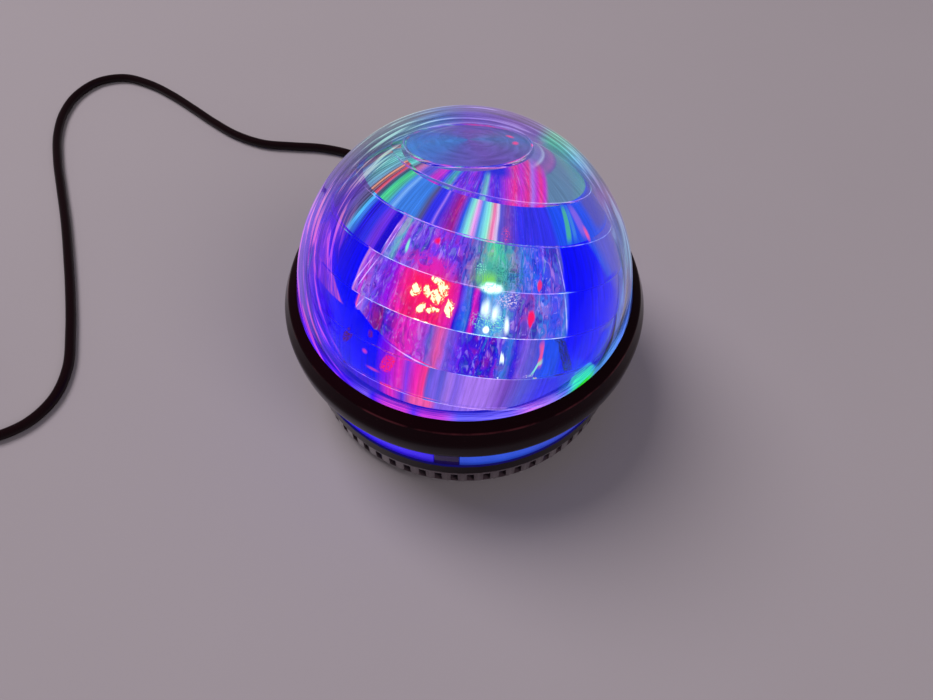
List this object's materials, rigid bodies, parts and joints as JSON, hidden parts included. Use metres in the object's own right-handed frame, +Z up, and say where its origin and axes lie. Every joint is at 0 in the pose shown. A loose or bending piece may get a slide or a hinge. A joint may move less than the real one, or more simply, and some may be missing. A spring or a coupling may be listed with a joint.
{
  "type": "aurora projector",
  "caption": "Table-top light projector: clear dome over a turning stepped prism and colour lamps, black collar, glowing band, vented round base and a power lead.",
  "frame": {"origin": "centre of the base on the table, under the feet", "axes": "+Z up along the spin axis; +Y towards the rear panel with its buttons and power socket; the dark window faces -Y"},
  "size_m": [0.395, 0.3015, 0.1328],
  "materials": {
    "aluminium": "turned aluminium",
    "blue_lens": "lit blue lamp lens",
    "circuit": "green solder resist",
    "clear_dome": "clear moulded plastic, glossy",
    "cord_black": "black flexible cord jacket, slightly glossy",
    "dark_window": "dark translucent plastic window",
    "gloss_black": "glossy black moulded plastic",
    "glow_band": "translucent diffuser lit blue from behind",
    "green_lens": "lit green lamp lens",
    "matt_black": "fine textured black plastic",
    "motor_metal": "plated motor can",
    "paper_cone": "pressed paper cone",
    "prism": "clear moulded stepped prism, rippled and glossy",
    "red_lens": "lit red lamp lens",
    "rubber": "matt rubber",
    "steel": "plated steel",
    "white_lens": "lit white lamp lens",
    "white_plastic": "satin white plastic"
  },
  "bodies": {
    "housing": {"band_lights": "white_plastic", "base_shell": "gloss_black", "blue_lamp": "blue_lens", "board_screw_1": "steel", "board_screw_2": "steel", "board_screw_3": "steel", "bottom_cover": "matt_black", "bottom_screw_1": "steel", "bottom_screw_2": "steel", "bottom_screw_3": "steel", "bottom_screw_4": "steel", "collar": "gloss_black", "cord_coil": "cord_black", "cord_run": "cord_black", "cord_tail": "cord_black", "cord_tie": "cord_black", "deck_plate": "matt_black", "deck_screw_1": "steel", "deck_screw_2": "steel", "deck_screw_3": "steel", "deck_screw_4": "steel", "dome_cover": "clear_dome", "drive_motor": "motor_metal", "foot_1": "rubber", "foot_2": "rubber", "foot_3": "rubber", "foot_4": "rubber", "glow_ring": "glow_band", "green_lamp": "green_lens", "heat_plate": "aluminium", "hub_bush": "white_plastic", "key_board": "circuit", "lamp_board": "white_plastic", "lamp_post": "aluminium", "lamp_screw_1": "steel", "lamp_screw_2": "steel", "main_board": "circuit", "motor_screw_1": "steel", "motor_screw_2": "steel", "post_screw_1": "steel", "post_screw_2": "steel", "power_plug": "cord_black", "power_socket": "matt_black", "red_lamp": "red_lens", "remote_receiver": "matt_black", "speaker_cone": "paper_cone", "speaker_frame": "steel", "speaker_magnet": "steel", "usb_plug_body": "cord_black", "usb_plug_shell": "steel", "white_lamp": "white_lens", "window": "dark_window"},
    "rotor": {"turntable": "white_plastic", "prism_dome": "prism", "ripple_cup": "prism"},
    "pinion": {"motor_pinion": "white_plastic"},
    "power_key": {"power_button": "matt_black"},
    "colour_key": {"colour_button": "matt_black"},
    "speed_key": {"speed_button": "matt_black"}
  },
  "joints": [
    {"name": "prism_spin", "type": "hinge", "parent": "housing", "child": "rotor", "pos_m": [0, 0, 0.054], "axis": [0, 0, 1], "continuous": true},
    {"name": "pinion_spin", "type": "hinge", "parent": "housing", "child": "pinion", "pos_m": [-0.03377, -0.0195, 0.052], "axis": [0, 0, 1], "continuous": true},
    {"name": "power_press", "type": "slide", "parent": "housing", "child": "power_key", "axis": [-0.1736, -0.9848, 0], "range_m": [0, 0.0008], "stiffness_N_per_m": 400},
    {"name": "colour_press", "type": "slide", "parent": "housing", "child": "colour_key", "axis": [-0.1736, -0.9848, 0], "range_m": [0, 0.0008], "stiffness_N_per_m": 400},
    {"name": "speed_press", "type": "slide", "parent": "housing", "child": "speed_key", "axis": [-0.1736, -0.9848, 0], "range_m": [0, 0.0008], "stiffness_N_per_m": 400}
  ],
  "couplings": [
    {"joint": "pinion_spin", "follows": "prism_spin", "ratio": -3.3333}
  ]
}
